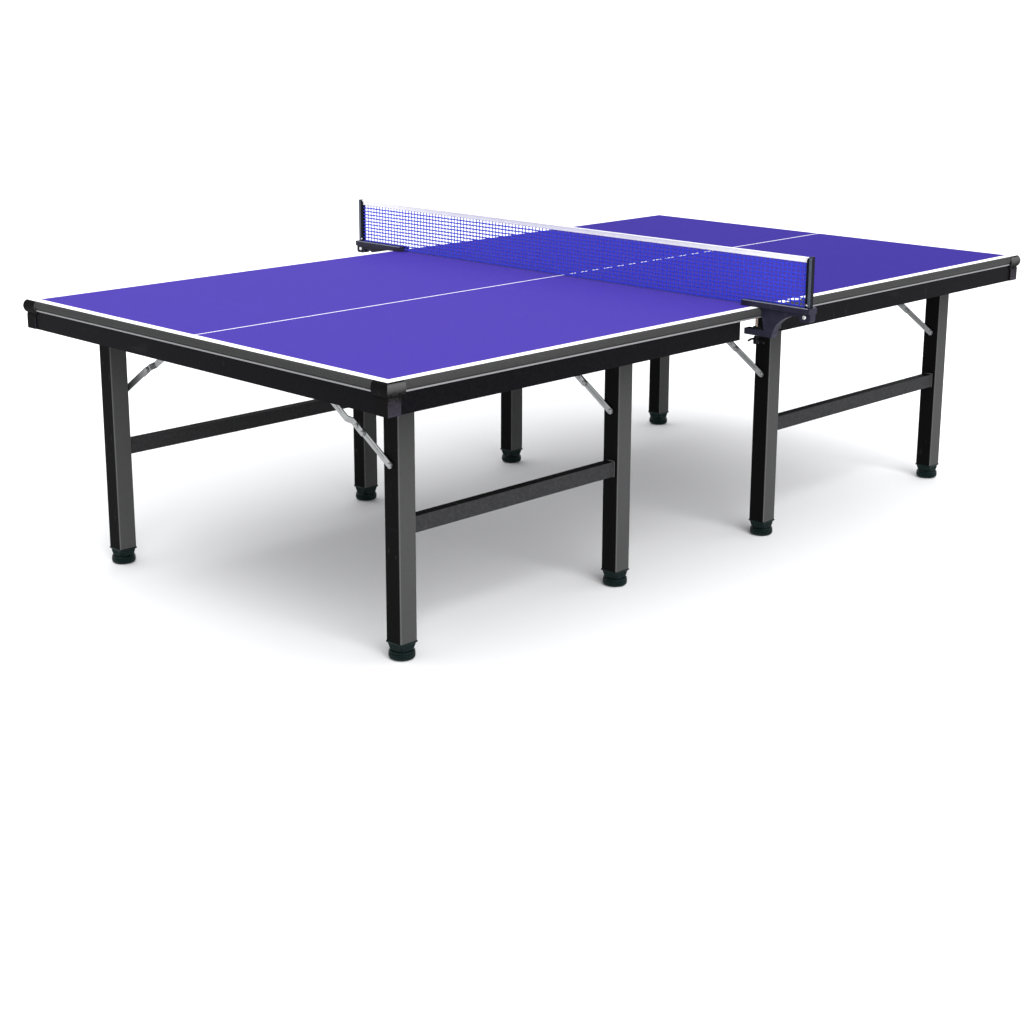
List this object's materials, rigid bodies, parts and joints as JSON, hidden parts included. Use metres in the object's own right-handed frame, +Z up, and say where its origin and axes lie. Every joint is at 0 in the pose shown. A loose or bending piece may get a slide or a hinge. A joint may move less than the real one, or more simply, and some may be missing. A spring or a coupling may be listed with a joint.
{
  "type": "table tennis table",
  "caption": "Indoor table tennis table in two halves on folding leg frames with braces, levelling feet, aprons and a clamp-on net.",
  "frame": {"origin": "on the floor, under the middle of the net", "axes": "+X along the table's length from half a to half b, +Y across it to the far side, +Z up"},
  "size_m": [2.758, 1.858, 0.914],
  "materials": {
    "playing_surface": "blue-violet matt paint on board, white edge lines",
    "apron": "dark satin paint",
    "corner_cap": "black moulded plastic",
    "rail": "black satin paint",
    "hinge_plate": "black paint on pressed steel",
    "pin": "zinc plated",
    "brace": "bright zinc plated strip",
    "leg_tube": "black satin powder coat",
    "leg_cap": "black moulded plastic",
    "stem": "zinc plated thread",
    "foot": "black ribbed rubber",
    "netting": "blue knotted netting",
    "net_tape": "white woven tape",
    "net_post": "dark slate satin paint",
    "net_clamp": "slate blue satin paint on a casting",
    "clamp_screw": "zinc plated thread",
    "knob": "black moulded plastic"
  },
  "bodies": {
    "half_a": {"half_a_top": "playing_surface", "half_a_side_aprons": "apron", "half_a_end_apron": "apron", "half_a_corner_caps": "corner_cap", "half_a_under_rails": "rail", "half_a_leg_hinges": "hinge_plate", "half_a_hinge_pins": "pin", "half_a_brace_mounts": "brace", "net": "netting", "net_tape": "net_tape", "net_posts": "net_post", "net_clamps": "net_clamp"},
    "half_b": {"half_b_top": "playing_surface", "half_b_side_aprons": "apron", "half_b_end_apron": "apron", "half_b_corner_caps": "corner_cap", "half_b_under_rails": "rail", "half_b_leg_hinges": "hinge_plate", "half_b_hinge_pins": "pin", "half_b_brace_mounts": "brace"},
    "half_a_near_frame": {"half_a_near_legs": "leg_tube", "half_a_near_crossbar": "leg_tube", "half_a_near_leg_caps": "leg_cap"},
    "half_a_near_upper": {"half_a_near_upper_braces": "brace"},
    "half_a_near_lower": {"half_a_near_lower_braces": "brace"},
    "half_a_near_outer_thread": {"half_a_near_outer_stem": "stem"},
    "half_a_near_outer_pad": {"half_a_near_outer_foot": "foot"},
    "half_a_near_inner_thread": {"half_a_near_inner_stem": "stem"},
    "half_a_near_inner_pad": {"half_a_near_inner_foot": "foot"},
    "half_a_far_frame": {"half_a_far_legs": "leg_tube", "half_a_far_crossbar": "leg_tube", "half_a_far_leg_caps": "leg_cap"},
    "half_a_far_upper": {"half_a_far_upper_braces": "brace"},
    "half_a_far_lower": {"half_a_far_lower_braces": "brace"},
    "half_a_far_outer_thread": {"half_a_far_outer_stem": "stem"},
    "half_a_far_outer_pad": {"half_a_far_outer_foot": "foot"},
    "half_a_far_inner_thread": {"half_a_far_inner_stem": "stem"},
    "half_a_far_inner_pad": {"half_a_far_inner_foot": "foot"},
    "half_b_near_frame": {"half_b_near_legs": "leg_tube", "half_b_near_crossbar": "leg_tube", "half_b_near_leg_caps": "leg_cap"},
    "half_b_near_upper": {"half_b_near_upper_braces": "brace"},
    "half_b_near_lower": {"half_b_near_lower_braces": "brace"},
    "half_b_near_outer_thread": {"half_b_near_outer_stem": "stem"},
    "half_b_near_outer_pad": {"half_b_near_outer_foot": "foot"},
    "half_b_near_inner_thread": {"half_b_near_inner_stem": "stem"},
    "half_b_near_inner_pad": {"half_b_near_inner_foot": "foot"},
    "half_b_far_frame": {"half_b_far_legs": "leg_tube", "half_b_far_crossbar": "leg_tube", "half_b_far_leg_caps": "leg_cap"},
    "half_b_far_upper": {"half_b_far_upper_braces": "brace"},
    "half_b_far_lower": {"half_b_far_lower_braces": "brace"},
    "half_b_far_outer_thread": {"half_b_far_outer_stem": "stem"},
    "half_b_far_outer_pad": {"half_b_far_outer_foot": "foot"},
    "half_b_far_inner_thread": {"half_b_far_inner_stem": "stem"},
    "half_b_far_inner_pad": {"half_b_far_inner_foot": "foot"},
    "near_screw": {"near_clamp_screw": "clamp_screw"},
    "near_knob": {"near_wing_knob": "knob"},
    "far_screw": {"far_clamp_screw": "clamp_screw"},
    "far_knob": {"far_wing_knob": "knob"}
  },
  "joints": [
    {"name": "half_b_pull", "type": "slide", "parent": "half_a", "child": "half_b", "axis": [1, 0, 0], "range_m": [0, 0.3]},
    {"name": "half_a_near_fold", "type": "hinge", "parent": "half_a", "child": "half_a_near_frame", "pos_m": [0, -0.565, 0.71], "axis": [1, 0, 0], "range_deg": [0, 90]},
    {"name": "half_a_near_upper_brace", "type": "hinge", "parent": "half_a", "child": "half_a_near_upper", "pos_m": [0, -0.24, 0.72], "axis": [1, 0, 0], "range_deg": [-29.13, 0]},
    {"name": "half_a_near_lower_brace", "type": "hinge", "parent": "half_a_near_frame", "child": "half_a_near_lower", "pos_m": [0, -0.565, 0.5], "axis": [1, 0, 0], "range_deg": [0, 60.88]},
    {"name": "half_a_near_outer_foot_travel", "type": "slide", "parent": "half_a_near_frame", "child": "half_a_near_outer_thread", "axis": [0, 0, -1], "range_m": [0, 0.016]},
    {"name": "half_a_near_outer_foot_turn", "type": "hinge", "parent": "half_a_near_outer_thread", "child": "half_a_near_outer_pad", "pos_m": [-1.16187, -0.565, 0], "axis": [0, 0, -1], "range_deg": [0, 2880]},
    {"name": "half_a_near_inner_foot_travel", "type": "slide", "parent": "half_a_near_frame", "child": "half_a_near_inner_thread", "axis": [0, 0, -1], "range_m": [0, 0.016]},
    {"name": "half_a_near_inner_foot_turn", "type": "hinge", "parent": "half_a_near_inner_thread", "child": "half_a_near_inner_pad", "pos_m": [-0.36712, -0.565, 0], "axis": [0, 0, -1], "range_deg": [0, 2880]},
    {"name": "half_a_far_fold", "type": "hinge", "parent": "half_a", "child": "half_a_far_frame", "pos_m": [0, 0.565, 0.71], "axis": [-1, 0, 0], "range_deg": [0, 90]},
    {"name": "half_a_far_upper_brace", "type": "hinge", "parent": "half_a", "child": "half_a_far_upper", "pos_m": [0, 0.24, 0.72], "axis": [-1, 0, 0], "range_deg": [-29.13, 0]},
    {"name": "half_a_far_lower_brace", "type": "hinge", "parent": "half_a_far_frame", "child": "half_a_far_lower", "pos_m": [0, 0.565, 0.5], "axis": [-1, 0, 0], "range_deg": [0, 60.88]},
    {"name": "half_a_far_outer_foot_travel", "type": "slide", "parent": "half_a_far_frame", "child": "half_a_far_outer_thread", "axis": [0, 0, -1], "range_m": [0, 0.016]},
    {"name": "half_a_far_outer_foot_turn", "type": "hinge", "parent": "half_a_far_outer_thread", "child": "half_a_far_outer_pad", "pos_m": [-1.22612, 0.565, 0], "axis": [0, 0, -1], "range_deg": [0, 2880]},
    {"name": "half_a_far_inner_foot_travel", "type": "slide", "parent": "half_a_far_frame", "child": "half_a_far_inner_thread", "axis": [0, 0, -1], "range_m": [0, 0.016]},
    {"name": "half_a_far_inner_foot_turn", "type": "hinge", "parent": "half_a_far_inner_thread", "child": "half_a_far_inner_pad", "pos_m": [-0.30288, 0.565, 0], "axis": [0, 0, -1], "range_deg": [0, 2880]},
    {"name": "half_b_near_fold", "type": "hinge", "parent": "half_b", "child": "half_b_near_frame", "pos_m": [0, -0.565, 0.71], "axis": [1, 0, 0], "range_deg": [0, 90]},
    {"name": "half_b_near_upper_brace", "type": "hinge", "parent": "half_b", "child": "half_b_near_upper", "pos_m": [0, -0.24, 0.72], "axis": [1, 0, 0], "range_deg": [-29.13, 0]},
    {"name": "half_b_near_lower_brace", "type": "hinge", "parent": "half_b_near_frame", "child": "half_b_near_lower", "pos_m": [0, -0.565, 0.5], "axis": [1, 0, 0], "range_deg": [0, 60.88]},
    {"name": "half_b_near_outer_foot_travel", "type": "slide", "parent": "half_b_near_frame", "child": "half_b_near_outer_thread", "axis": [0, 0, -1], "range_m": [0, 0.016]},
    {"name": "half_b_near_outer_foot_turn", "type": "hinge", "parent": "half_b_near_outer_thread", "child": "half_b_near_outer_pad", "pos_m": [1.22612, -0.565, 0], "axis": [0, 0, -1], "range_deg": [0, 2880]},
    {"name": "half_b_near_inner_foot_travel", "type": "slide", "parent": "half_b_near_frame", "child": "half_b_near_inner_thread", "axis": [0, 0, -1], "range_m": [0, 0.016]},
    {"name": "half_b_near_inner_foot_turn", "type": "hinge", "parent": "half_b_near_inner_thread", "child": "half_b_near_inner_pad", "pos_m": [0.30288, -0.565, 0], "axis": [0, 0, -1], "range_deg": [0, 2880]},
    {"name": "half_b_far_fold", "type": "hinge", "parent": "half_b", "child": "half_b_far_frame", "pos_m": [0, 0.565, 0.71], "axis": [-1, 0, 0], "range_deg": [0, 90]},
    {"name": "half_b_far_upper_brace", "type": "hinge", "parent": "half_b", "child": "half_b_far_upper", "pos_m": [0, 0.24, 0.72], "axis": [-1, 0, 0], "range_deg": [-29.13, 0]},
    {"name": "half_b_far_lower_brace", "type": "hinge", "parent": "half_b_far_frame", "child": "half_b_far_lower", "pos_m": [0, 0.565, 0.5], "axis": [-1, 0, 0], "range_deg": [0, 60.88]},
    {"name": "half_b_far_outer_foot_travel", "type": "slide", "parent": "half_b_far_frame", "child": "half_b_far_outer_thread", "axis": [0, 0, -1], "range_m": [0, 0.016]},
    {"name": "half_b_far_outer_foot_turn", "type": "hinge", "parent": "half_b_far_outer_thread", "child": "half_b_far_outer_pad", "pos_m": [1.16187, 0.565, 0], "axis": [0, 0, -1], "range_deg": [0, 2880]},
    {"name": "half_b_far_inner_foot_travel", "type": "slide", "parent": "half_b_far_frame", "child": "half_b_far_inner_thread", "axis": [0, 0, -1], "range_m": [0, 0.016]},
    {"name": "half_b_far_inner_foot_turn", "type": "hinge", "parent": "half_b_far_inner_thread", "child": "half_b_far_inner_pad", "pos_m": [0.36712, 0.565, 0], "axis": [0, 0, -1], "range_deg": [0, 2880]},
    {"name": "near_clamp_travel", "type": "slide", "parent": "half_a", "child": "near_screw", "axis": [0, 0, -1], "range_m": [0, 0.0125]},
    {"name": "near_clamp_turn", "type": "hinge", "parent": "near_screw", "child": "near_knob", "pos_m": [0, -0.7445, 0.668], "axis": [0, 0, -1], "range_deg": [0, 3600]},
    {"name": "far_clamp_travel", "type": "slide", "parent": "half_a", "child": "far_screw", "axis": [0, 0, -1], "range_m": [0, 0.0125]},
    {"name": "far_clamp_turn", "type": "hinge", "parent": "far_screw", "child": "far_knob", "pos_m": [0, 0.7445, 0.668], "axis": [0, 0, -1], "range_deg": [0, 3600]}
  ],
  "couplings": [
    {"joint": "half_a_near_upper_brace", "follows": "half_a_near_fold", "ratio": -0.32361},
    {"joint": "half_a_near_lower_brace", "follows": "half_a_near_fold", "ratio": 0.67639},
    {"joint": "half_a_near_outer_foot_travel", "follows": "half_a_near_outer_foot_turn", "m_per_rad": 0.00031831},
    {"joint": "half_a_near_inner_foot_travel", "follows": "half_a_near_inner_foot_turn", "m_per_rad": 0.00031831},
    {"joint": "half_a_far_upper_brace", "follows": "half_a_far_fold", "ratio": -0.32361},
    {"joint": "half_a_far_lower_brace", "follows": "half_a_far_fold", "ratio": 0.67639},
    {"joint": "half_a_far_outer_foot_travel", "follows": "half_a_far_outer_foot_turn", "m_per_rad": 0.00031831},
    {"joint": "half_a_far_inner_foot_travel", "follows": "half_a_far_inner_foot_turn", "m_per_rad": 0.00031831},
    {"joint": "half_b_near_upper_brace", "follows": "half_b_near_fold", "ratio": -0.32361},
    {"joint": "half_b_near_lower_brace", "follows": "half_b_near_fold", "ratio": 0.67639},
    {"joint": "half_b_near_outer_foot_travel", "follows": "half_b_near_outer_foot_turn", "m_per_rad": 0.00031831},
    {"joint": "half_b_near_inner_foot_travel", "follows": "half_b_near_inner_foot_turn", "m_per_rad": 0.00031831},
    {"joint": "half_b_far_upper_brace", "follows": "half_b_far_fold", "ratio": -0.32361},
    {"joint": "half_b_far_lower_brace", "follows": "half_b_far_fold", "ratio": 0.67639},
    {"joint": "half_b_far_outer_foot_travel", "follows": "half_b_far_outer_foot_turn", "m_per_rad": 0.00031831},
    {"joint": "half_b_far_inner_foot_travel", "follows": "half_b_far_inner_foot_turn", "m_per_rad": 0.00031831},
    {"joint": "near_clamp_turn", "follows": "near_clamp_travel", "rad_per_m": 5026.5},
    {"joint": "far_clamp_turn", "follows": "far_clamp_travel", "rad_per_m": 5026.5}
  ]
}
